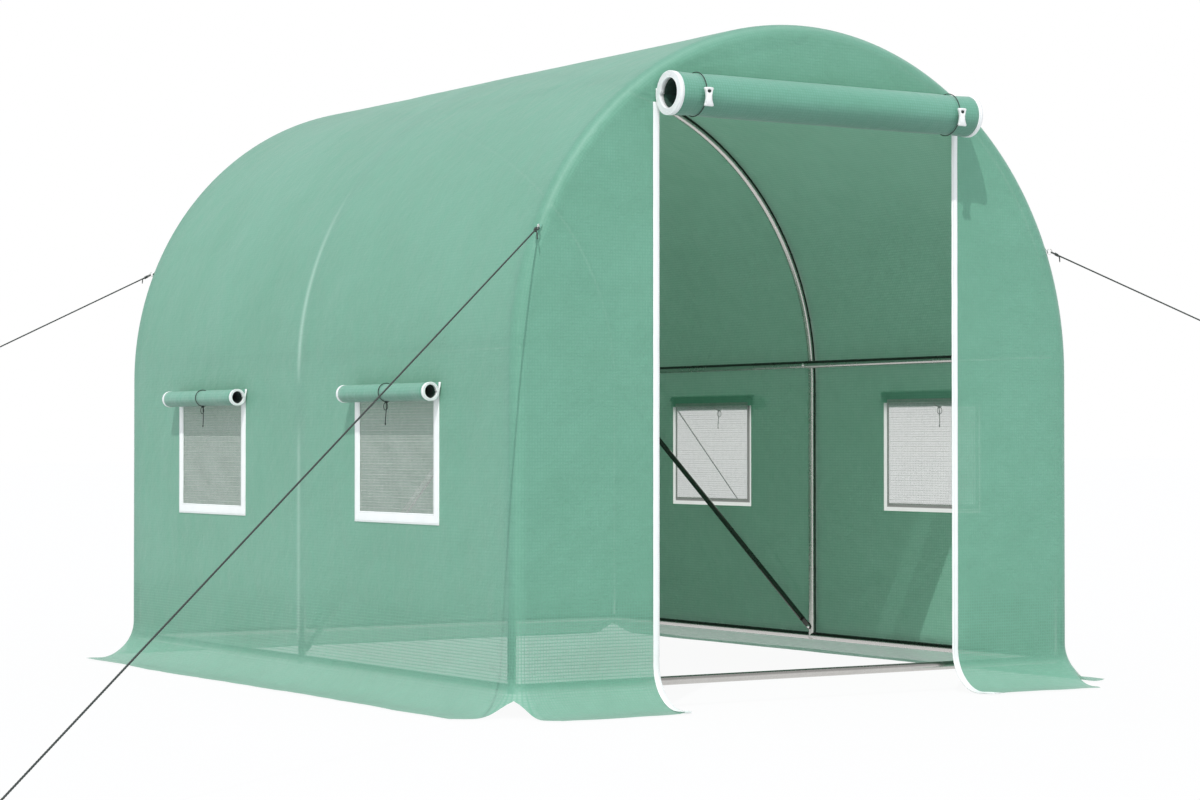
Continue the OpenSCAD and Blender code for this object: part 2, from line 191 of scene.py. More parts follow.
def rgb(r, g, b):
    return (r, g, b, 1.0)


def darker(colour, r, g, b):
    return rgb(colour[0] * r, colour[1] * g, colour[2] * b)


GRID, GRID_LINE, GRID_SOFT = 0.009, 0.0020, 0.0010  # the cover's reinforcing grid
WEAVE = 0.0024  # width of the cover's flat tapes
HEM_SEAM = 0.028  # the hem's stitches, up from the edge


def cover_material(name, see_through, foot_through, glow, under, low, high):
    """Woven sheet: flat tapes with a reinforcing grid, cloudy colour, a sewn hem, and pale lines: wear with
    painted highlight over the middle hoop, painted highlight along the end edges.

    see_through and foot_through are the open share of the weave, on the walls and near the ground, glow
    the share of light that comes through, and under the shade on what faces down.
    """
    m = material(name)
    u, v = m.uv()
    where = m.place()
    grid = m.math("MAXIMUM", m.lines(u, GRID, GRID_LINE, GRID_SOFT), m.lines(v, GRID, GRID_LINE, GRID_SOFT))
    wave_u = m.math("SINE", m.times(u, pi / WEAVE))
    wave_v = m.math("SINE", m.times(v, pi / WEAVE))
    weave = m.times(wave_u, wave_v)
    cloud = m.noise(where, 2.6, 4.0, 0.55)
    mottle = m.noise(where, 19.0, 3.0, 0.6)
    across = m.noise(m.join(m.times(u, 30.0), m.times(v, 250.0)), 1.0, 2.0)
    along = m.noise(m.join(m.times(u, 250.0), m.times(v, 30.0)), 1.0, 2.0)
    streak = m.times(m.plus(across, along), 0.5)
    tone = m.plus(m.times(cloud, 0.35), m.times(mottle, 0.2))
    tone = m.plus(tone, m.times(streak, 0.45))
    col = m.mix(m.ramp(tone, 0.38, 0.62), low, high)
    col = m.mix(m.times(grid, 0.50), col, darker(low, 0.72, 0.84, 0.80))
    # Pale line over the middle hoop, partly wear and partly painted highlight, and a painted highlight along
    # the rounded end edges
    col = m.mix(m.times(m.attribute("ridge"), 0.70), col, rgb(0.574, 0.877, 0.706))
    away = m.math("ABSOLUTE", m.minus(m.attribute("hem"), HEM_SEAM))
    sewn = m.times(m.ramp(away, 0.0009, 0.0017, 1.0, 0.0), m.lines(v, 0.007, 0.0045, 0.0008))
    col = m.mix(m.times(sewn, 0.6), col, rgb(0.55, 0.72, 0.62))
    facing = m.add("NewGeometry")
    if under:
        shaded = m.ramp(m.up(facing), -0.80, 0.10, under, 0.0)
        col = m.mix(shaded, col, darker(low, 0.4, 0.4, 0.4))
    # Painted shade: the hollow of a roll is painted near black
    col = m.mix(m.times(m.attribute("hollow_shade"), 0.9), col, rgb(0.010, 0.028, 0.020))
    crease = m.plus(m.noise(where, 9.0, 5.0, 0.62), m.times(m.noise(where, 2.7, 2.0), 1.6))
    nrm = m.bump(crease, 0.60, 0.012)
    nrm = m.bump(m.plus(m.times(grid, 0.7), m.times(weave, 0.35)), 0.35, 0.0006, nrm)
    rough = m.ramp(mottle, 0.3, 0.7, 0.44, 0.56)
    sheen = {"IOR": 1.45, "Sheen Weight": 0.28, "Sheen Roughness": 0.45}
    if not see_through:
        return m.surface(m.skin(col, rough, nrm, sheen))
    foot = m.attribute("low")
    gap = m.plus(m.times(foot, foot_through - see_through), see_through)
    back = m.ramp(m.attribute("hem"), 0.185, 0.213, 0.48, 0.04)
    gap = m.plus(gap, m.times(facing.outputs["Backfacing"], m.minus(back, gap)))
    gap = m.times(gap, m.minus(1.0, m.times(grid, 0.70)))
    gap = m.plus(gap, m.times(m.minus(streak, 0.5), 0.10))
    sheen["Alpha"] = m.math("SUBTRACT", 1.0, gap, True)
    through = m.mix(m.ramp(cloud, 0.0, 1.0, 0.10, 0.14), col, rgb(0.50, 0.49, 0.36))
    dense = m.plus(m.times(grid, 0.20), m.ramp(mottle, 0.35, 0.65, 0.18, 0.0))
    through = m.mix(dense, through, darker(low, 0.70, 0.70, 0.70))
    lit = m.node("BsdfTranslucent", {"Color": through, "Normal": nrm})
    share = m.times(m.minus(1.0, m.times(foot, 0.18)), glow)
    return m.surface(m.node("MixShader", {0: share, 1: m.skin(col, rough, nrm, sheen), 2: lit}))


def tape_material(name, glow):
    """Sewn white tape: ribbed weave, two rows of stitches near its edges and some soil.

    With glow, light comes through its back; where the net's hem is sewn on, the back is painted dark grey as
    painted shade, which also dims the light that comes through.
    """
    m = material(name)
    u, v = m.uv()
    soil = m.noise(m.place(), 14.0, 5.0, 0.6)
    rib = m.math("SINE", m.times(u, 2 * pi / 0.0022))
    row = m.lines(m.minus(v, 0.004), 0.024, 0.0016, 0.0006)
    stitch = m.times(row, m.lines(u, 0.006, 0.0040, 0.0008))
    col = m.mix(m.ramp(soil, 0.35, 0.75, 0.0, 0.55), rgb(0.94, 0.96, 0.93), rgb(0.87, 0.89, 0.85))
    col = m.mix(m.times(stitch, 0.5), col, rgb(0.62, 0.64, 0.60))
    behind = m.add("NewGeometry").outputs["Backfacing"]
    if glow:
        # Painted shade: the tape's back darkens where the net's hem laps over it
        lap_shade = m.times(behind, m.ramp(v, BORDER - 0.0145, BORDER - 0.0115, 0.0, 0.80))
        col = m.mix(lap_shade, col, rgb(0.13, 0.135, 0.125))
    nrm = m.bump(m.minus(m.times(rib, 0.25), stitch), 0.5, 0.0008)
    skin = m.skin(col, m.ramp(soil, 0.3, 0.7, 0.50, 0.66), nrm)
    if glow:
        lit = m.node("BsdfTranslucent", {"Color": col})
        skin = m.node("MixShader", {0: m.times(behind, glow), 1: skin, 2: lit})
    return m.surface(skin)


def thread_material(name, base, dull):
    """Extruded net thread with a slight change of shade from thread to thread."""
    m = material(name)
    where = m.place()
    shade = m.noise(where, 60.0, 3.0, 0.6)
    col = m.mix(m.ramp(shade, 0.3, 0.7), dull, base)
    nrm = m.bump(m.noise(where, 900.0, 2.0), 0.2, 0.0004)
    skin = m.skin(col, m.ramp(shade, 0.3, 0.7, 0.42, 0.6), nrm)
    lit = m.node("BsdfTranslucent", {"Color": col})
    return m.surface(m.node("MixShader", {0: 0.30, 1: skin, 2: lit}))


# Colour of the painted shade on the tubes
SHADE_BLACK = rgb(0.017, 0.015, 0.012)


def tube_material(name, shades, shaded_side, start=0.0, side_paint_share=0.95, side_paint=SHADE_BLACK):
    """Galvanised steel tube: fine spangle, dull patches, and a flat colour on one side: painted shade on the
    side that faces the sheet or faces up, on the dark tubes a painted reflection of the green sheet.

    The painted side begins where the surface turns past start towards that side, and side_paint_share is how
    strongly it takes the painted colour.
    """
    base, bright, stained = shades
    m = material(name)
    where = m.place()
    flakes = m.add("TexVoronoi", None, {"Vector": where, "Scale": 160.0}).outputs["Color"]
    spangle = m.node("SeparateColor", {0: flakes})
    stain = m.noise(where, 6.0, 5.0, 0.65)
    col = m.mix(m.ramp(spangle, 0.0, 1.0, 0.0, 0.30), base, bright)
    col = m.mix(m.ramp(stain, 0.58, 0.85, 0.0, 0.4), col, stained)
    facing = m.add("NewGeometry")
    side = m.up(facing)
    if shaded_side == "sheet":
        at = m.parts(where)
        rise = m.math("MAXIMUM", m.minus(at[2], SPRING), 0.0)
        out = m.add("VectorMath", {"operation": "NORMALIZE"}, {0: m.join(at[0], 0.0, rise)})
        ins = {0: out.outputs[0], 1: facing.outputs["Normal"]}
        side = m.add("VectorMath", {"operation": "DOT_PRODUCT"}, ins).outputs["Value"]
    side = m.plus(side, m.times(m.minus(stain, 0.5), 0.12))
    # The chosen side takes side_paint: painted shade on most tubes, a painted reflection of the green sheet
    # on the dark ones
    col = m.mix(m.ramp(side, start, start + 0.40, 0.0, side_paint_share), col, side_paint)
    rough = m.plus(m.ramp(stain, 0.3, 0.8, 0.20, 0.32), m.times(spangle, 0.03))
    nrm = m.bump(m.noise(where, 240.0, 3.0, 0.7), 0.008, 0.0004)
    return m.surface(m.skin(col, rough, nrm, {"Metallic": 1.0}))


def steel_material(name):
    """Plated wire and bolts, with dull specks."""
    m = material(name)
    where = m.place()
    spot = m.noise(where, 190.0, 4.0, 0.65)
    col = m.mix(m.ramp(spot, 0.5, 0.75), rgb(0.74, 0.74, 0.73), rgb(0.48, 0.46, 0.43))
    rough = m.ramp(spot, 0.4, 0.75, 0.26, 0.50)
    nrm = m.bump(m.noise(where, 700.0, 2.0), 0.15, 0.0004)
    return m.surface(m.skin(col, rough, nrm, {"Metallic": 1.0}))


def cord_material(name, base, pale):
    """Laid cord: yarns with pale fuzz on the crowns of the strands."""
    m = material(name)
    u, v = m.uv()
    fuzz = m.noise(m.place(), 520.0, 3.0, 0.7)
    yarn = m.math("SINE", m.times(m.plus(m.times(u, 900.0), m.times(v, 40.0)), 2.0))
    col = m.mix(m.ramp(m.plus(fuzz, m.times(yarn, 0.12)), 0.42, 0.72), base, pale)
    nrm = m.bump(m.plus(fuzz, m.times(yarn, 0.3)), 0.4, 0.0005)
    return m.surface(m.skin(col, m.ramp(fuzz, 0.3, 0.7, 0.60, 0.82), nrm))


def plastic_material(name):
    """Moulded toggle plastic: fine grain, and a little soil."""
    m = material(name)
    where = m.place()
    soil = m.noise(where, 45.0, 4.0, 0.6)
    col = m.mix(m.ramp(soil, 0.45, 0.8, 0.0, 0.6), rgb(0.86, 0.87, 0.84), rgb(0.64, 0.65, 0.60))
    nrm = m.bump(m.noise(where, 1400.0, 2.0), 0.15, 0.0003)
    return m.surface(m.skin(col, m.ramp(soil, 0.3, 0.7, 0.34, 0.48), nrm))


LIT_GREEN = rgb(0.210, 0.490, 0.346), rgb(0.244, 0.543, 0.397)
ROLL_GREEN = rgb(0.132, 0.350, 0.244), rgb(0.158, 0.388, 0.284)
HOOP_ZINC = rgb(0.58, 0.57, 0.545), rgb(0.70, 0.69, 0.665), rgb(0.40, 0.385, 0.35)
RAIL_ZINC = rgb(0.54, 0.53, 0.51), rgb(0.65, 0.64, 0.62), rgb(0.38, 0.365, 0.33)
# Braces and ridge pole: a darker copy of the tube's zinc as painted shade, with a painted reflection of the
# green sheet on the side that faces it
SHADED_ZINC = rgb(0.085, 0.083, 0.077), rgb(0.12, 0.118, 0.11), rgb(0.06, 0.057, 0.05)
SHEET_REFLECTION = rgb(0.36, 0.50, 0.42)

COVER = cover_material("woven_cover", 0.145, 0.33, 0.25, 0.0, *LIT_GREEN)
ROLLED = cover_material("woven_cover_rolled", 0.0, 0.0, 0.0, 0.5, *ROLL_GREEN)
TAPE = tape_material("white_binding", 0.0)
WINDOW_TAPE = tape_material("white_window_tape", 0.8)
NET = thread_material("net_thread", rgb(0.745, 0.765, 0.725), rgb(0.66, 0.685, 0.645))
# Painted shade on the sheet side of the hoops and legs, and on the tops of the rails and sill
TUBE = tube_material("galvanised_tube", HOOP_ZINC, "sheet", -0.28)
RAIL = tube_material("galvanised_rail", RAIL_ZINC, "upper_side")
SILL = tube_material("galvanised_sill", RAIL_ZINC, "upper_side", 0.0, 0.5)
SHADED_TUBE = tube_material("shaded_dark_tube", SHADED_ZINC, "sheet", side_paint=SHEET_REFLECTION)
STEEL = steel_material("plated_steel")
CORD = cord_material("dark_cord", rgb(0.016, 0.026, 0.021), rgb(0.050, 0.070, 0.058))
ROPE = cord_material("dark_rope", rgb(0.022, 0.030, 0.026), rgb(0.070, 0.084, 0.075))
PLASTIC = plastic_material("moulded_plastic")

# Mesh making


def piece(name, verts, faces, mat, uv, slot, stands_for=(), attrs=None, closed=False, outwards=False):
    """A mesh piece that rides on the part, with one value for each vertex in uv and attrs.

    The faces of a closed piece are turned out of it, and those of an outwards sheet away from the inside.
    """
    me = bpy.data.meshes.new(name)
    me.from_pydata([tuple(map(float, p)) for p in verts], [], [tuple(map(int, f)) for f in faces])
    idx = np.empty(len(me.loops), dtype=np.int32)
    me.loops.foreach_get("vertex_index", idx)
    me.uv_layers.new(name="UVMap").data.foreach_set("uv", np.asarray(uv, np.float32)[idx].ravel())
    for key, values in (attrs or {}).items():
        me.attributes.new(key, "FLOAT", "POINT").data.foreach_set("value", np.asarray(values, np.float32))
    bm = bmesh.new()
    bm.from_mesh(me)
    bmesh.ops.remove_doubles(bm, verts=bm.verts, dist=1e-6)
    if closed:
        bmesh.ops.recalc_face_normals(bm, faces=bm.faces)
    if outwards:
        out = [f.calc_area() * f.normal.dot(f.calc_center_median() - Vector(MIDDLE)) for f in bm.faces]
        if sum(out) < 0:
            bmesh.ops.reverse_faces(bm, faces=bm.faces)
    bm.to_mesh(me)
    bm.free()
    me.polygons.foreach_set("use_smooth", [True] * len(me.polygons))
    me.materials.append(mat)
    ob = bpy.data.objects.new(name, me)
    scene.collection.objects.link(ob)
    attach(ob, "root")
    if stands_for:
        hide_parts(*stands_for)
    return ob


def grid_faces(rows, cols, keep=None, wrap_rows=False, wrap_cols=False):
    faces = []
    for i in range(rows if wrap_rows else rows - 1):
        for j in range(cols if wrap_cols else cols - 1):
            if keep is None or keep(i, j):
                a, b = i * cols + j, i * cols + (j + 1) % cols
                c, d = ((i + 1) % rows) * cols + (j + 1) % cols, ((i + 1) % rows) * cols + j
                faces.append((a, b, c, d))
    return faces


def steps(marks, size):
    """Values through all the marks, with steps of about that size between them."""
    out = [marks[0]]
    for a, b in zip(marks, marks[1:]):
        n = max(1, int(round(abs(b - a) / size)))
        out += [a + (b - a) * k / n for k in range(1, n + 1)]
    return out


def mirrored(half):
    """The values and, after the last one, the others again with the other sign."""
    return half + [-x for x in reversed(half[:-1])]


def once_round(n):
    """Angles of a full turn in n steps, with both its ends."""
    return [2 * pi * k / n for k in range(n + 1)]


def smooth(x, lo, hi):
    """0 below lo, 1 above hi, and a smooth change between them."""
    t = min(1.0, max(0.0, (x - lo) / (hi - lo)))
    return t * t * (3 - 2 * t)


WALL_FADE, END_FADE = 0.460, 0.490  # where the walls' and the end sheets' clearer foot ends, up from the hem


def near_ground(hem, top):
    """1 at the foot of a wall, less on its skirt, and 0 above the top, for lengths up from the hem."""
    return [(0.2 + 0.8 * smooth(s, 0.18, 0.25)) * (1.0 - smooth(s, top - 0.12, top)) for s in hem]


def ripple(x, y, z, size):
    return noise.noise(Vector((x, y, z)) / size)


class Builder:
    """Collects several solids into one mesh."""

    def __init__(self):
        self.v, self.f, self.uv = [], [], []

    def put(self, verts, faces, uv):
        n = len(self.v)
        self.v += [tuple(p) for p in verts]
        self.f += [tuple(n + i for i in f) for f in faces]
        self.uv += [tuple(p) for p in uv]

    def piece(self, name, mat, slot, stands_for=(), **more):
        return piece(name, self.v, self.f, mat, self.uv, slot, stands_for, **more)


def resample(path, step):
    p = np.asarray(path, float)
    seg = np.linalg.norm(np.diff(p, axis=0), axis=1)
    s = np.concatenate([[0.0], np.cumsum(seg)])
    n = max(2, ceil(s[-1] / step) + 1)
    t = np.linspace(0.0, s[-1], n)
    return np.stack([np.interp(t, s, p[:, k]) for k in range(3)], axis=1), t


def strand(path, radius, pitch, per_pitch=6, depth=0.16, ends=True):
    """Twisted rope along a path: a lobed section that turns once in each pitch."""
    lobes, around = 3, 12
    p, s = resample(path, pitch / per_pitch)
    tan = np.gradient(p, axis=0)
    tan /= np.linalg.norm(tan, axis=1)[:, None]
    ref = np.array([0.0, 0.0, 1.0]) if abs(tan[0][2]) < 0.8 else np.array([1.0, 0.0, 0.0])
    nrm = np.cross(tan[0], ref)
    nrm /= np.linalg.norm(nrm)
    verts, uv = [], []
    for i in range(len(p)):
        nrm = nrm - tan[i] * float(nrm @ tan[i])
        nrm /= np.linalg.norm(nrm)
        bi = np.cross(tan[i], nrm)
        turn = 2 * pi * s[i] / pitch
        taper = 0.62 if ends and i in (0, len(p) - 1) else 1.0
        for k in range(around):
            a = 2 * pi * k / around
            r = radius * taper * (1.0 - depth + depth * cos(lobes * (a - turn)))
            verts.append(p[i] + r * (cos(a) * nrm + sin(a) * bi))
            uv.append((s[i], k / around * 0.02))
    faces = grid_faces(len(p), around, wrap_cols=True)
    faces.append(tuple(range(around))[::-1])
    faces.append(tuple((len(p) - 1) * around + k for k in range(around)))
    return verts, faces, uv


def frame_of(direction):
    """The unit vector of a direction, and two across it."""
    d = Vector(direction).normalized()
    a = d.cross(Vector((0, 0, 1)) if abs(d.z) < 0.9 else Vector((1, 0, 0))).normalized()
    return d, a, d.cross(a)


def winding(at, direction, radius, turns, rise, n=14):
    """Points of a helix about a line, for the turns of a knot."""
    d, a, b = frame_of(direction)
    out = []
    for k in range(int(turns * n) + 1):
        w = 2 * pi * k / n
        out.append(Vector(at) + d * (rise * k / n) + a * (radius * cos(w)) + b * (radius * sin(w)))
    return out


# Camera, at the photograph's place

cam_data = bpy.data.cameras.new("camera")
cam_data.sensor_width = 36.0
cam_data.lens = 84.42
cam = bpy.data.objects.new("camera", cam_data)
cam.location = (-4.922, -7.828, 0.7455)
cam.rotation_euler = (radians(90.861), 0.0, radians(-32.729))
scene.collection.objects.link(cam)
scene.camera = cam

# Loose ends of the window ties, the only free cords

TAIL_TOP, TAIL_LENGTH, TAIL_POINTS = 0.8594, 0.065, 19
TIE_R, KNOT_R = 0.0015, 0.0014  # the ties' cord, and the same drawn tight
DOOR_LAY, FLAP_LAY, TAIL_LAY = 0.010, 0.008, 0.006  # length of one twist


def tie_tail(name, x, y, sway):
    path = []
    for k in range(TAIL_POINTS):
        f = k / (TAIL_POINTS - 1)
        curl = sway * sin(2.6 * f) * f
        path.append((x + 0.0008 * sin(5 * f), y + curl, TAIL_TOP - TAIL_LENGTH * f * (1 - 0.006 * f)))
    b = Builder()
    b.put(*strand(path, TIE_R, TAIL_LAY, depth=0.12))
    knot = winding(Vector(path[-2]) + Vector((0, 0, 0.002)), (0, 0, -1), 0.0016, 1.6, 0.0017, 10)
    b.put(*strand(knot, 0.0011, TAIL_LAY))
    ob = b.piece(name, CORD, "tie_cord", ("window_tie_tails",), closed=True)
    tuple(path[0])


for name, sx, yc in WINDOWS:
    tie_tail(f"{name}_tie_tail", sx * FLAP_X, yc, 0.006 if sx * yc > 0 else -0.005)

# Cover: rows run from the hem up the wall, columns along the tunnel, and the end sheets share the edge rows

SKIRT = [(float(d), T) for d in np.linspace(REACH, FLARE, 7)[:-1]]
for a in np.linspace(90, 0, 17):
    c, s = cos(radians(a)), sin(radians(a))
    SKIRT.append((FLARE - (FLARE + T) * c, FOOT - (FLARE + T) * s))
OPEN_Z0, OPEN_Z1 = WIN_Z0 + HOLE, WIN_Z1 - BORDER
OPEN_HALF = WIN_HALF - HOLE
MESH = 0.021
WALL_Z = steps([FOOT, OPEN_Z0, OPEN_Z1, SPRING], MESH)[1:]
DOOR_A = acos(DOOR / FR)
ARCH_A = steps([0.0, DOOR_A, pi / 2], radians(1.6))[1:]

SPLIT_D = (EDGE + SPLIT) * sqrt(2) - EDGE
SPLIT_SOFT = 0.030


def rounded(d, radius):
    """How far a skirt's rounded corner takes its edge back, at that distance from the wall."""
    over = d - (REACH - radius)
    return radius - sqrt(max(0.0, radius**2 - over**2)) if over > 0 else 0.0


def flap_angle(d):
    """Half of the corner that a skirt keeps at that distance from the wall: all of it above the split."""
    rho = EDGE + d
    if d <= SPLIT_D:
        return pi / 4
    q = EDGE + SPLIT - rounded(d, HEM_R)
    gap = rho * (pi / 4 - asin(max(0.0, min(1.0, q / rho))))
    gap = sqrt(gap * gap + 2 * SPLIT_SOFT * gap)
    return max(0.0, pi / 4 - gap / rho)


def hem_wave(x, y, d):
    """Lift of a skirt off the ground towards its hem."""
    f = smooth(d, 0.06, REACH)
    return f * (0.0035 + 0.0035 * ripple(x, y, 3.1, 0.33) + 0.0012 * ripple(x, y, 7.7, 0.09))


def hem_out(x, y, d):
    return smooth(d, 0.05, REACH) * 0.005 * ripple(x, y, 11.3, 0.42)


def near_window(y, z):
    """0 on a window and 1 well away from it."""
    dy = max(0.0, abs(abs(y) - WIN_Y) - WIN_HALF)
    dz = max(0.0, z - WIN_Z1, WIN_Z0 - z)
    return smooth(hypot(dy, dz), 0.015, 0.16)


def bay_sag(y):
    """0 on a hoop and 1 between two hoops."""
    away = min(abs(y), abs(abs(y) - FY))
    return 1 - exp(-((away / 0.17) ** 2)) if away < FY / 2 else 1.0


def side_shift(x, y, z, ang):
    """How far the side sheet stands off its plain form, outwards."""
    bay = bay_sag(y)
    on_roof = smooth(ang, 0.0, 0.7)
    keep = bay * (1.0 if ang > 0 else near_window(y, z) * smooth(z, FOOT, FOOT + 0.12))
    sag = -(0.0015 + 0.0005 * on_roof) * keep
    soft = 0.0026 * ripple(x * 0.8, y, z, 0.34) + 0.0015 * ripple(x, y * 0.7 + 0.4 * z, z * 1.2 + 5.0, 0.12)
    soft *= 1.0 - 0.6 * on_roof
    fold = 0.0010 * (1 - abs(ripple(x + 0.35 * z, y * 0.55, z * 1.9 + 2.0, 0.12))) * smooth(ang, 0.0, 0.3)
    return sag + keep * (soft + fold)


def corner_cols():
    half = [k / 7 for k in range(8)]
    return [("end", f) for f in half] + [("side", f) for f in reversed(half)]


Y_MARKS = [-FY, -WIN_Y - OPEN_HALF, -WIN_Y + OPEN_HALF, -0.034, -0.020, -0.012, -0.005, 0.0]
Y_COLS = mirrored(steps(Y_MARKS, MESH))
FRONT = [("corner", -1, h, f) for h, f in corner_cols()]
BACK = [("corner", 1, h, f) for h, f in reversed(corner_cols())]
COLS = FRONT[:-1] + [("straight", 0, "", y) for y in Y_COLS] + BACK[1:]
HALF_ROWS = (
    [("skirt", d, z, 0.0) for d, z in SKIRT]
    + [("wall", -T, z, 0.0) for z in WALL_Z]
    + [("arch", -T, SPRING, a) for a in ARCH_A]
)
ROWS = [(1, r) for r in HALF_ROWS] + [(-1, r) for r in reversed(HALF_ROWS[:-1])]


def side_point(sx, row, col):
    kind, d, z, ang = row
    rho = EDGE + d
    if col[0] == "straight":
        phi, y0, sy = 0.0, col[3], 0
        run = y0
    else:
        sy = col[1]
        part = flap_angle(d)
        phi = part * col[3] if col[2] == "side" else pi / 2 - part * col[3]
        y0 = sy * FY
        run = sy * (FY + EDGE * phi)
    out = FR + rho * cos(phi)
    y = y0 + sy * rho * sin(phi)
    if kind == "skirt":
        grow = hem_out(sx * out, y, d)
        z = max(T, z + hem_wave(sx * out, y, d))
        return (sx * (out + grow * cos(phi)), y + sy * grow * sin(phi), z), run
    c, s = cos(ang), sin(ang)
    if col[0] == "straight":
        out += side_shift(sx * out * c, y, z + out * s, ang)
    return (sx * out * c, y, z + out * s), run


def row_lengths():
    pts = []
    for sx, (_, d, z, ang) in ROWS:
        r = HW + d
        pts.append((sx * r * cos(ang), z + r * sin(ang)))
    s = [0.0]
    for (x0, z0), (x1, z1) in zip(pts, pts[1:]):
        s.append(s[-1] + hypot(x1 - x0, z1 - z0))
    return s


def square_up(me):
    """Gives the side sheet's end edges the end sheets' own normals, so that no seam shows in the shading."""
    nrm = np.zeros(len(me.vertices) * 3, np.float32)
    me.vertex_normals.foreach_get("vector", nrm)
    nrm = nrm.reshape(-1, 3)
    for v in me.vertices:
        x, y, z = v.co
        n = nrm[v.index]
        if abs(abs(y) - (HL - T)) < 1e-5 and z > FOOT - 1e-4:
            n[:] = (0.0, copysign(1.0, y), 0.0)
        elif z < FOOT and abs(abs(x) - FR) < 1e-5 and abs(y) > HL - 0.002:
            n[0] = 0.0
            n /= max(1e-6, np.linalg.norm(n))
    me.normals_split_custom_set_from_vertices([tuple(map(float, n)) for n in nrm])


def hoop_wear_and_highlight(row, z):
    """How pale the line over the middle hoop is, partly wear and partly painted highlight: along its legs
    and most at its shoulders.
    """
    if row[0] == "arch":
        return smooth(row[3], -0.06, 0.06) * (1.0 - smooth(row[3], 0.24, 0.70))
    return 0.60 * smooth(z, 0.10, 0.18) * (1.0 - smooth(z, 0.70, 0.84)) + 0.5 * smooth(z, 0.91, 0.96)


S_ROW = row_lengths()
verts, uv, ridge, hem = [], [], [], []
for (sx, row), s in zip(ROWS, S_ROW):
    for col in COLS:
        p, run = side_point(sx, row, col)
        verts.append(p)
        uv.append((s, run))
        wear_and_highlight = 0.0
        if col[0] == "straight":
            # Partly wear and partly painted highlight over the middle hoop
            wear_and_highlight = exp(-((col[3] / 0.0115) ** 2)) * hoop_wear_and_highlight(row, p[2])
        elif row[0] == "arch":
            # Painted highlight along the rounded end edge of the roof
            wear_and_highlight = 0.18 * exp(-(((1 - col[3]) / 0.22) ** 2)) * smooth(row[3], 0.3, 0.5)
        ridge.append(wear_and_highlight)
        hem.append(min(s, S_ROW[-1] - s))


def not_window(i, j):
    """False in a window's opening and between the two flaps of a skirt's corner."""
    (_, ra), (_, rb) = ROWS[i], ROWS[i + 1]
    ca, cb = COLS[j], COLS[j + 1]
    if ra[0] == "wall" and rb[0] == "wall" and ca[0] == cb[0] == "straight":
        zm, ym = (ra[2] + rb[2]) / 2, (ca[3] + cb[3]) / 2
        return not (OPEN_Z0 < zm < OPEN_Z1 and abs(abs(ym) - WIN_Y) < OPEN_HALF)
    return not (ca[0] == cb[0] == "corner" and ca[2] != cb[2])


side_sheet = piece(
    "side_cover_sheet", verts, grid_faces(len(ROWS), len(COLS), not_window), COVER, uv, "cover_sheet",
    ("roof_cover", "left_wall_cover", "right_wall_cover"),
    {"ridge": ridge, "hem": hem, "low": near_ground(hem, WALL_FADE)}, outwards=True,
)
square_up(side_sheet.data)

# End sheets

V_ROW = [(z - FOOT) / (SPRING - FOOT) for z in WALL_Z]
S_SKIRT = S_ROW[: len(SKIRT)]


def end_shift(x, y, z, edge):
    """How far an end sheet stands off its plane, outwards: still at its seams and edges."""
    soft = 0.0034 * ripple(x, y, z * 0.8, 0.31) + 0.0013 * ripple(x * 1.5, y, z * 0.7 + 3.0, 0.11)
    pull = 0.0012 * (1 - abs(ripple(x * 2.2 - 0.5 * z, y, z * 0.5, 0.15)))
    return smooth(edge, 0.0, 0.10) * (soft + pull)


def end_sheet(name, sy, xs, inner, stands_for):
    """An end sheet with its skirt. Its columns stand at the arch's rows, so that the seams meet."""
    verts, uv, hem = [], [], []
    for (d, z), s in zip(SKIRT, S_SKIRT):
        cut = rounded(d, DOOR_R) if inner else 0.0
        for x in xs:
            px = x
            if cut:
                px = copysign(inner + cut + (abs(x) - inner) * (FR - inner - cut) / (FR - inner), x)
            y = HL + d + hem_out(px, sy * (HL + d), d)
            verts.append((px, sy * y, max(T, z + hem_wave(px, sy * (HL + d), d))))
            uv.append((x, s))
            hem.append(s)
    for f in V_ROW:
        for x in xs:
            top = SPRING + sqrt(max(0.0, FR * FR - x * x))
            z = FOOT + (top - FOOT) * f
            edge = min(FR - hypot(x, max(0.0, z - SPRING)), z - FOOT)
            if inner:
                edge = min(edge, abs(x) - inner)
            verts.append((x, sy * (HL - T + end_shift(x, sy, z, edge)), z))
            uv.append((x, S_SKIRT[-1] + z - FOOT))
            hem.append(S_SKIRT[-1] + z - FOOT)
    faces = grid_faces(len(SKIRT) + len(V_ROW), len(xs))
    attrs = {"hem": hem, "low": near_ground(hem, END_FADE)}
    return piece(name, verts, faces, COVER, uv, "cover_sheet", stands_for, attrs, outwards=True)


all_a = [0.0] + ARCH_A
beside_x = [FR * cos(a) for a in all_a if a <= DOOR_A + 1e-9]
for side, sx in SIDES:
    ob = end_sheet(f"front_{side}_sheet", -1, [sx * x for x in beside_x], DOOR, (f"front_{side}_panel",))
back_x = mirrored([FR * cos(a) for a in all_a])
back_sheet = end_sheet("back_sheet", 1, back_x, 0.0, ("back_panel",))

HEAD_ROWS = 12
head_x = mirrored([FR * cos(a) for a in all_a if a >= DOOR_A - 1e-9])
verts, uv, hem = [], [], []
for k in range(HEAD_ROWS + 1):
    for x in head_x:
        top = SPRING + sqrt(FR * FR - x * x)
        z = DOOR_TOP + (top - DOOR_TOP) * k / HEAD_ROWS
        edge = min(FR - hypot(x, z - SPRING), DOOR - abs(x), z - DOOR_TOP)
        verts.append((x, -(HL - T + end_shift(x, -1, z, edge)), z))
        uv.append((x, z))
        hem.append(z - DOOR_TOP)
header = piece(
    "front_header_sheet", verts, grid_faces(HEAD_ROWS + 1, len(head_x)), COVER, uv, "cover_sheet",
    ("front_header",), {"hem": hem}, outwards=True,
)

# White binding folded over the door's two edges, down to the hem

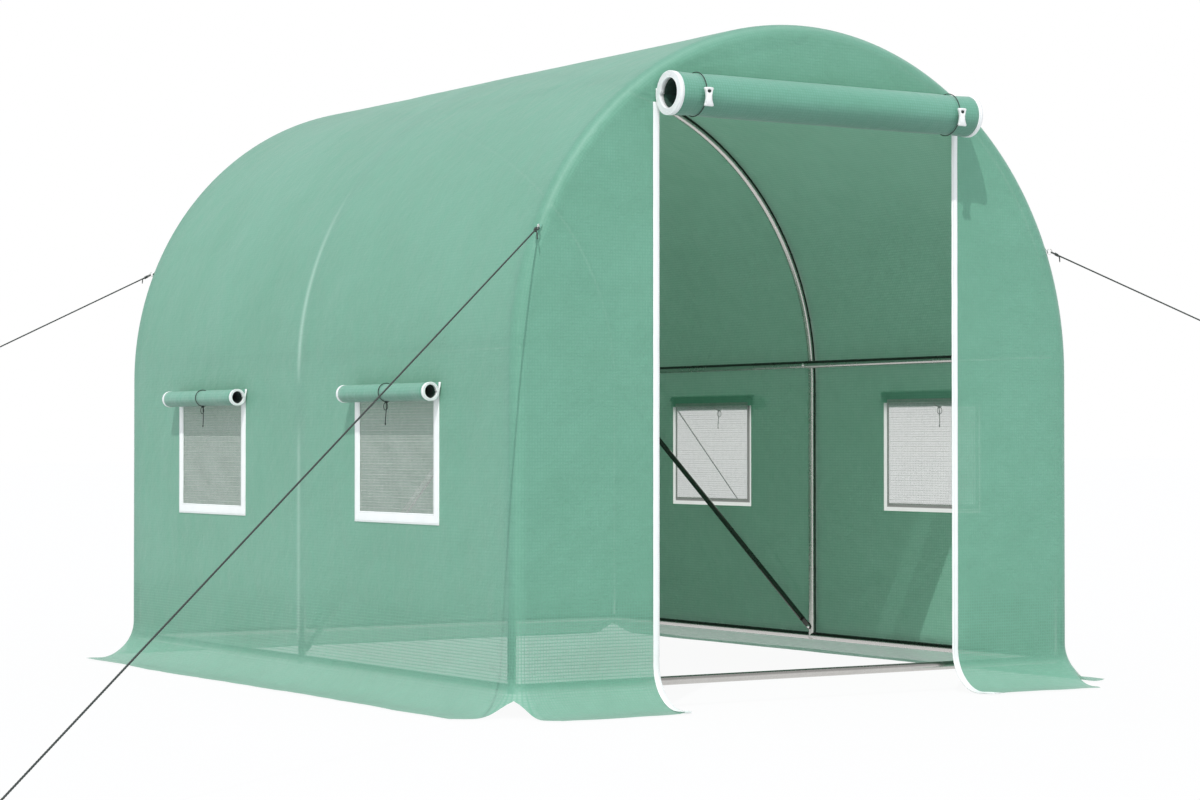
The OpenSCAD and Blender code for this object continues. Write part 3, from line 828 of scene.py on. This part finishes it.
FOLD = [(0.020, 0.0010), (0.0195, 0.0022), (0.016, 0.0027), (0.009, 0.0027), (0.003, 0.0026), (0.0, 0.0020)]
FOLD += [(-0.0018, 0.0), (0.0, -0.0020), (0.003, -0.0025), (0.010, -0.0026)]
FOLD += [(0.017, -0.0024), (0.018, -0.0010)]


def door_binding(side, sx):
    """The folded section carried along the skirt and up the door's edge, thinner at its lower end."""
    path = SKIRT + [(-T, z) for z in steps([FOOT, ROLL_Z - 0.02], 0.022)[1:]]
    verts, uv, s = [], [], 0.0
    for k, (d, z) in enumerate(path):
        a, b = path[max(0, k - 1)], path[min(len(path) - 1, k + 1)]
        td, tz = b[0] - a[0], b[1] - a[1]
        n = hypot(td, tz)
        nd, nz = tz / n, -td / n
        if k:
            s += hypot(d - path[k - 1][0], z - path[k - 1][1])
        lift = hem_wave(sx * DOOR, -(HL + d), d)
        grow = hem_out(sx * DOOR, -(HL + d), d)
        cut = rounded(d, DOOR_R)
        wob = 0.0006 * ripple(s, sx * 3.0, 0.0, 0.07)
        thin = (0.25, 0.75)[k] if k < 2 else 1.0
        for w, c in FOLD:
            off = c * thin + 0.0002
            x, y = sx * (DOOR + cut + w + wob), -(HL + d + grow + off * nd)
            verts.append((x, y, max(0.0003, z + lift + off * nz)))
            uv.append((s, 0.5 * (0.020 - w) if c < 0 else w))
    faces = grid_faces(len(path), len(FOLD))
    faces.append(tuple(range(len(FOLD))))
    piece(f"{side}_door_tape", verts, faces, TAPE, uv, "white_binding", (f"{side}_door_binding",))


for side, sx in SIDES:
    door_binding(side, sx)

# Rolled-up door and window flaps


def rolled(names, nodes, place, length, r_in, r_out, turns, pinches, dip, lead, white_w):
    """A sheet rolled into a spiral, drawn in by its ties, with bound white ends.

    place(a, b, c) puts a length along the roll, a distance out from what carries it and a height into the
    part's frame. lead holds the (b, c) points to the seam. names and nodes are the sheet's and the ends'.
    """
    per = 36
    n = turns * per
    half = length / 2

    def at(a, k):
        """(b, c) of the sheet's k-th point from its inner end, at that length along the roll."""
        if k > n:
            return lead[k - n - 1]
        squeeze = 1.0
        for p in pinches:
            squeeze -= dip * exp(-(((a - p) / 0.030) ** 2))
        w = 2 * pi * k / per
        r = r_in + (r_out - r_in) * k / n
        wob = 0.010 * ripple(a, cos(w) * 0.1, sin(w) * 0.1 + turns, 0.14)
        wob += 0.006 * sin(w * 2 + a * 3.0)
        q = squeeze * (1 + wob) * (1 + 0.012 * smooth(abs(a), half - 0.05, half))
        return r * cos(w + pi) * q, -r * sin(w + pi) * q

    total = n + 1 + len(lead)
    length_along = [0.0]
    for k in range(1, total):
        (b0, c0), (b1, c1) = at(half, k - 1), at(half, k)
        length_along.append(length_along[-1] + hypot(b1 - b0, c1 - c0))
    turn_in = length_along[per + per // 4]
    for ends in (0, 1):
        b = Builder()
        spans = [steps([-half + 0.004, half - 0.004], 0.022)]
        thick = 0.0012
        if ends:
            spans = [steps([-half, -half + white_w], 0.005), steps([half - white_w, half], 0.005)]
            thick = min(0.0034, 0.92 * (r_out - r_in) / turns)
        for span in spans:
            verts, uv = [], []
            for k in range(total):
                for a in span:
                    p, q = at(a, max(0, k - 1)), at(a, min(total - 1, k + 1))
                    tb, tc = q[0] - p[0], q[1] - p[1]
                    size = hypot(tb, tc) or 1.0
                    m = at(a, k)
                    for sign in (-1, 1):
                        off = sign * thick / 2
                        verts.append(place(a, m[0] + off * tc / size, m[1] - off * tb / size))
                        uv.append((length_along[k], abs(a) - half + white_w if ends else a))
            # Each point has a vertex on both faces of the sheet, and the rim joins the two
            na = len(span)
            faces = [tuple(2 * i + face for i in f) for face in (0, 1) for f in grid_faces(total, na)]
            edge = [k * na for k in range(total)]
            rim = edge + list(range(edge[-1] + 1, edge[-1] + na))
            rim += [i + na - 1 for i in reversed(edge[:-1])] + list(range(na - 2, 0, -1))
            faces += [(2 * i, 2 * j, 2 * j + 1, 2 * i + 1) for i, j in zip(rim, rim[1:] + rim[:1])]
            b.put(verts, faces, uv)
        if ends:
            b.piece(names[1], TAPE, "white_binding", nodes[1], closed=True)
        else:
            # Painted shade: the innermost turn, inside the roll's hollow, is painted near black
            hollow_shade = [1.0 - smooth(q[0], 0.7 * turn_in, turn_in) for q in b.uv]
            sheet = b.piece(names[0], ROLLED, "cover_sheet", nodes[0], attrs={"hollow_shade": hollow_shade}, closed=True)
    return sheet, length_along[-1]


def on_front(a, b, c):
    return (a, ROLL_Y - b, ROLL_Z + c)


door, run = rolled(
    ("door_sheet_rolled", "door_sheet_bound_ends"), (("door_roll",), ("door_roll_bindings",)), on_front,
    2 * ROLL_HALF, r_in=0.042, r_out=ROLL_R - 0.0006, turns=5, pinches=(-TIE_X, TIE_X), dip=0.035,
    lead=[(-ROLL_R + 0.0008, 0.012), (-ROLL_R - 0.0008, 0.017)], white_w=0.014,
)


def on_wall(sx, yc):
    return lambda a, b, c: (sx * (FLAP_X + b), yc + a, FLAP_Z + c)


for name, sx, yc in WINDOWS:
    flap, run = rolled(
        (f"{name}_flap_rolled", f"{name}_flap_bound_ends"), ((f"{name}_flap",), ()), on_wall(sx, yc),
        2 * FLAP_HALF, r_in=0.0192, r_out=FLAP_R - 0.0006, turns=3, pinches=(0.0,), dip=0.075,
        lead=[(-FLAP_R - 0.0010, 0.008), (-FLAP_R - 0.0032, 0.016), (-FLAP_R - 0.0040, 0.026)],
        white_w=0.011,
    )

# Ties round the rolls, and the toggles on the door's ties

ties = Builder()
for _, sx in SIDES:
    r = ROLL_R * 0.968 + 0.0020
    ring = [(sx * TIE_X + 0.0014 * sin(w), ROLL_Y + r * cos(w), ROLL_Z + r * sin(w)) for w in once_round(64)]
    ties.put(*strand(ring, TIE_R, DOOR_LAY, 8, ends=False))
    at = (sx * TIE_X - 0.004, ROLL_Y - ROLL_R - 0.0100, TOGGLE_Z + 0.0155)
    ties.put(*strand(winding(at, (1, 0, 0), 0.0026, 3, 0.0028), KNOT_R, DOOR_LAY, 8))
ties.piece("door_roll_ties", CORD, "tie_cord", ("door_ties",), closed=True)

ties = Builder()
for _, sx, yc in WINDOWS:
    r = FLAP_R * 0.925 + 0.0017
    ring = []
    for w in once_round(48):
        ring.append((sx * (FLAP_X + r * cos(w)), yc + 0.0010 * sin(2 * w), FLAP_Z + r * sin(w)))
    ties.put(*strand(ring, TIE_R, FLAP_LAY, 8, ends=False))
    at = (sx * FLAP_X, yc - 0.0045, FLAP_Z - FLAP_R - 0.0012)
    ties.put(*strand(winding(at, (0, 1, 0), 0.0024, 3, 0.0030), KNOT_R, FLAP_LAY, 8))
    loop = []
    for w in once_round(24):
        z = FLAP_Z - FLAP_R - 0.013 - 0.011 * cos(w)
        loop.append((sx * (FLAP_X + 0.002), yc + 0.012 * sin(w), z))
    ties.put(*strand(loop, 0.0012, FLAP_LAY, 8, ends=False))
ties.piece("window_flap_ties", CORD, "tie_cord", ("window_ties",), closed=True)


def toggle(b, x, y, z):
    """A waisted toggle with a cord hole near its top, and rounded edges."""
    half, n = 0.026, 15
    side = []
    for k in range(n):
        q = -half + 2 * half * k / (n - 1)
        f = abs(q) / half
        side.append((0.0092 + 0.0070 * f * f - 0.0030 * smooth(f, 0.86, 1.0), q))
    outline = side + [(0.006, half + 0.0006), (0.0, half + 0.0008), (-0.006, half + 0.0006)]
    outline += [(-p, q) for p, q in reversed(side)] + [(-0.006, -half), (0.0, -half), (0.006, -half)]
    eye = 0.0155
    loops = []
    thick, bevel = 0.0100, 0.0015
    for inset, depth in ((bevel, 0.0), (0.0, bevel), (0.0, thick - bevel), (bevel, thick)):
        loops.append([(p * (1 - inset / 0.012), depth, q * (1 - inset / half)) for p, q in outline])
    for r, depth in ((0.0074, thick), (0.0062, thick - bevel), (0.0062, bevel), (0.0074, 0.0)):
        ring = []
        for p, q in outline:
            far = hypot(p, q - eye)
            ring.append((r * p / far, depth, eye + r * 0.80 * (q - eye) / far))
        loops.append(ring)
    verts = [(x + p, y - d, z + q) for ring in loops for p, d, q in ring]
    faces = grid_faces(len(loops), len(outline), wrap_rows=True, wrap_cols=True)
    b.put(verts, faces, [(p[0], p[2]) for p in verts])


tog = Builder()
for _, sx in SIDES:
    toggle(tog, sx * TIE_X, ROLL_Y - ROLL_R - 0.0034, TOGGLE_Z)
tog.piece("door_tie_toggles", PLASTIC, "toggle", ("door_toggles",), closed=True)

# Windows: sewn white tape on three sides, and the net


def border_tape(b, sx, yc, plane):
    """U of tape round a window, mitred at its lower corners, sewn to the cover by its outer edge."""
    h, w = WIN_HALF, BORDER
    corners = [(-h, WIN_Z1 - 0.001), (-h, WIN_Z0), (h, WIN_Z0), (h, WIN_Z1 - 0.001)]
    section = [(0.0, 0.0), (0.0006, 0.0013), (0.003, 0.0020), (0.010, 0.0021), (0.016, 0.0022)]
    section += [(0.022, 0.0021), (0.029, 0.0020), (w - 0.0006, 0.0013), (w, 0.0)]
    path, s = [], 0.0
    for (a0, z0), (a1, z1) in zip(corners, corners[1:]):
        size = hypot(a1 - a0, z1 - z0)
        n = max(2, int(size / 0.016))
        for k in range(n + (z1 > WIN_Z0)):
            path.append((a0 + (a1 - a0) * k / n, z0 + (z1 - z0) * k / n, s + size * k / n))
        s += size
    verts, uv = [], []
    for a, z, run in path:
        for off, rise in section:
            if abs(z - WIN_Z0) < 1e-9:
                pa = a * (h - off) / h
                pz = z + off
            else:
                pa = a - copysign(off, a)
                pz = z + (off * (WIN_Z1 - z) / (WIN_Z1 - WIN_Z0))
            c = plane + rise + 0.0003 * ripple(pa, pz, yc + sx, 0.06)
            verts.append((sx * c, yc + pa, pz))
            uv.append((run, off))
    b.put(verts, grid_faces(len(path), len(section)), uv)


NET_X = 0.99735
NET_HALF, NET_Z0, NET_Z1 = WIN_HALF - BORDER + 0.006, WIN_Z0 + BORDER - 0.006, OPEN_Z1 + 0.012
PITCH = 0.0027
FINE, HEAVY, HEAVIEST, DEEP = 0.00042, 0.0010, 0.0013, 0.0005  # the threads' widths, and their depth


def thread(b, sx, p, q, wide, off):
    """A net thread of half-round section between two points, a little wavy."""
    d = Vector(q) - Vector(p)
    side = Vector((0, -d.z, d.y)).normalized() * (wide / 2)
    n = 12
    verts, uv = [], []
    for k in range(n + 1):
        f = k / n
        m = Vector(p) + d * f
        sag = off + 0.00018 * sin(f * 47.0 + m.y * 31.0 + m.z * 17.0)
        for su, dx in ((-1, 0.0), (-0.5, DEEP), (0.5, DEEP), (1, 0.0)):
            v = m + side * su
            verts.append((sx * (NET_X + sag + dx - DEEP / 2), v.y, v.z))
            uv.append((f, su))
    b.put(verts, grid_faces(n + 1, 4), uv)


def thread_places(lo, hi):
    out = []
    at = lo + PITCH / 2
    while at < hi:
        out.append(at)
        at += PITCH
    return out


def net(b, sx, yc):
    """Extruded net: fine threads both ways, every third one heavier, every sixth level one heavier still."""
    lie = 0.00015
    for k, a in enumerate(thread_places(-NET_HALF, NET_HALF)):
        wide = HEAVY if k % 3 == 0 else FINE
        thread(b, sx, (0, yc + a, NET_Z0), (0, yc + a, NET_Z1), wide, -lie)
    for k, z in enumerate(thread_places(NET_Z0, NET_Z1)):
        wide = HEAVIEST if k % 6 == 0 else HEAVY if k % 3 == 0 else FINE
        thread(b, sx, (0, yc - NET_HALF, z), (0, yc + NET_HALF, z), wide, lie)


for name, sx, yc in WINDOWS:
    b = Builder()
    border_tape(b, sx, yc, HW - T + 0.0012)
    b.piece(f"{name}_tape", WINDOW_TAPE, "white_binding", (f"{name}_border",), outwards=True)
    b = Builder()
    net(b, sx, yc)
    ob = b.piece(f"{name}_mesh", NET, "window_net", (f"{name}_net",))

# Guy ropes: three strands, tied to a ring at the cover's edge and to a peg

GUY_ANGLE = radians(22)  # how far up the arch a rope is tied
ROPE_R, LOOP_R = 0.0026, 0.0020
ROPE_LAY, LOOP_LAY = 0.026, 0.018  # length of one twist


def guy(b, tabs, sx, sy):
    """A rope with a loop and a knot at each end, and the tab that holds its ring."""
    c, s = cos(GUY_ANGLE), sin(GUY_ANGLE)
    out = Vector((c * sx, sy, s)).normalized()
    seat = Vector((FR * c * sx, sy * FY, SPRING + FR * s)) + out * EDGE
    ring = seat + out * 0.0093
    foot = Vector((sx * PEG_X, sy * PEG_Y, 0.050))
    run = (foot - ring).normalized()
    flat = out.cross(run).normalized()
    start, stop = ring + run * 0.024, foot - run * 0.050
    b.put(*strand([start, start.lerp(stop, 0.5), stop], ROPE_R, ROPE_LAY))
    level, up = Vector((run.y, -run.x, 0)).normalized(), Vector((0, 0, 1))
    for at, tip, across in ((start, ring + run * 0.0045, flat), (stop, foot + run * 0.006, level)):
        way = (tip - at).normalized()
        size = (tip - at).length
        loop = [at + way * (size * 0.5 * (1 - cos(w))) + across * (0.0055 * sin(w)) for w in once_round(32)]
        b.put(*strand(loop, LOOP_R, LOOP_LAY, ends=False))
        b.put(*strand(winding(at - way * 0.005, way, 0.0034, 3, 0.0040), LOOP_R, LOOP_LAY))
        tail = [at - way * 0.004 + across * 0.004, at - way * 0.009 + across * 0.008 - up * 0.006]
        tail.append(at - way * 0.010 + across * 0.009 - up * 0.020)
        b.put(*strand(tail, LOOP_R, LOOP_LAY))
    # Webbing tab that holds the ring to the sewn edge
    lay = flat.cross(out).normalized()
    verts, uv = [], []
    prof = [(-0.016, 0.0006), (-0.011, 0.0011), (-0.006, 0.0016), (-0.003, 0.0030), (0.0, 0.0040)]
    prof += [(-q, r) for q, r in reversed(prof[:-1])]
    for q, r in prof:
        drop = EDGE - sqrt(EDGE * EDGE - q * q)
        for f in (-1.0, -0.4, 0.4, 1.0):
            verts.append(seat + lay * q - out * (drop - r) + flat * (0.006 * f))
            uv.append((q, (f + 1) * 0.006))
    tabs.put(verts, grid_faces(len(prof), 4), uv)


tabs = Builder()
for side, sx in SIDES:
    b = Builder()
    for _, sy in ENDS:
        guy(b, tabs, sx, sy)
    b.piece(f"{side}_twisted_guy_ropes", ROPE, "guy_rope", (f"{side}_guy_ropes",), closed=True)
tabs.piece("guy_ring_tabs", ROLLED, "cover_sheet")

# Bolts through the braces' flattened ends and where the purlins and the ridge pole cross the hoops


def bolt(b, at, direction, across, head):
    """Hexagon head with a rounded washer under it."""
    d, u, v = frame_of(direction)
    around = 24
    washer = ((0.62, 0.0), (0.95, 0.0003), (0.98, 0.0010), (0.92, 0.0016))
    hexagon = ((0.58, 0.0016), (0.575, head - 0.0006), (0.50, head), (0.20, head + 0.0003))
    verts = []
    for k, (share, h) in enumerate(washer + hexagon):
        for j in range(around):
            w = 2 * pi * j / around
            r = across * share
            if k >= len(washer):
                r *= cos(pi / 6) / cos(w % (pi / 3) - pi / 6)
            verts.append(Vector(at) + d * h + u * (r * cos(w)) + v * (r * sin(w)))
    rings = len(washer) + len(hexagon)
    faces = grid_faces(rings, around, wrap_cols=True)
    faces.append(tuple((rings - 1) * around + k for k in range(around)))
    b.put(verts, faces, [(p.x, p.z) for p in verts])


SEAT = 0.0003  # the gap that the solids keep between pieces that touch
TUBE_GAP = 0.0023  # from the cover's outside in to the tubes
PURLIN_R = 0.9599  # from the arch's axis to the middles of the purlins and the ridge pole
PURLIN_RISE, RAIL_Z = 0.055, 0.075  # the purlins over the spring line, and the rails over the ground
BRACE_TAB, BRACE_LAP = 0.004, 0.019  # a brace's flattened end: its thickness, and how far its bolt sits in
brace_x = HW - TUBE_GAP - 2 * TUBE_R - SEAT - BRACE_TAB
low_z, high_z = RAIL_Z + TUBE_R + BRACE_LAP, SPRING + PURLIN_RISE - TUBE_R - BRACE_LAP
purlin_a = asin(PURLIN_RISE / PURLIN_R)
b = Builder()
for _, sx in SIDES:
    for y, z in ((0.0, low_z), (sx * FY, high_z)):
        bolt(b, (sx * brace_x, y, z), (-sx, 0, 0), 0.0065, 0.0055)
for ang in (pi - purlin_a, purlin_a, pi / 2):
    c, s = cos(ang), sin(ang)
    for y in (-FY, 0.0, FY):
        r = PURLIN_R - TUBE_R
        bolt(b, (r * c, y, SPRING + r * s), (-c, 0, -s), 0.0060, 0.0050)
b.piece("frame_bolts", STEEL, "steel")

# Carried-over tubes, rings and pegs

FINISHES = (
    (("front_sill_rail",), SILL),
    (("_arch", "_legs"), TUBE),
    (("_rail", "_purlin"), RAIL),
    (("_pole", "_braces"), SHADED_TUBE),
    (("guy_rings", "ground_pegs"), STEEL),
)
for name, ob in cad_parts.items():
    finish = [mat for endings, mat in FINISHES if name.endswith(endings)]
    if finish:
        ob.data.materials.clear()
        ob.data.materials.append(finish[0])

# Floor, world and sun

WHITE = rgb(1, 1, 1)
SKY_TINT, SKY_LEVEL = rgb(0.87, 0.96, 1.18), 0.75  # light from above, where the world isn't seen itself
SUN_WAY, SUN_STRENGTH = (1.0, 1.03, -1.92), 2.1
FLOOR_HALF, FLOOR_Z = 90, -0.0006

ground = material("pale_floor")
pale = ground.mix(ground.noise(ground.place(), 3.0, 3.0), rgb(0.72, 0.72, 0.72), rgb(0.76, 0.76, 0.76))
matt = ground.node("BsdfDiffuse", {"Color": pale})
white = ground.node("Emission", {"Color": WHITE, "Strength": 1.0})
ground.surface(ground.node("MixShader", {0: ground.times(ground.seen(), 0.94), 1: matt, 2: white}))
me = bpy.data.meshes.new("floor")
corners = [(x * FLOOR_HALF, y * FLOOR_HALF, FLOOR_Z) for x, y in ((-1, -1), (1, -1), (1, 1), (-1, 1))]
me.from_pydata(corners, [], [(0, 1, 2, 3)])
me.materials.append(ground.owner)
floor = bpy.data.objects.new("floor", me)
scene.collection.objects.link(floor)

sky = Nodes(bpy.data.worlds.new("studio"), "OutputWorld")
scene.world = sky.owner
seen = sky.seen()
rise = sky.parts(sky.add("TexCoord").outputs["Generated"])[2]
above = sky.node("MapRange", {0: rise, 1: 0.15})
hue = sky.mix(seen, sky.mix(above, WHITE, SKY_TINT), WHITE)
level = sky.node("MapRange", {0: seen, 3: SKY_LEVEL, 4: 1.0})
sky.surface(sky.node("Background", {"Color": hue, "Strength": level}))

sun_data = bpy.data.lights.new("sun", "SUN")
sun_data.energy = SUN_STRENGTH
sun_data.angle = radians(0.5)
sun = bpy.data.objects.new("sun", sun_data)
sun.rotation_euler = Vector(SUN_WAY).to_track_quat("-Z", "Y").to_euler()
scene.collection.objects.link(sun)
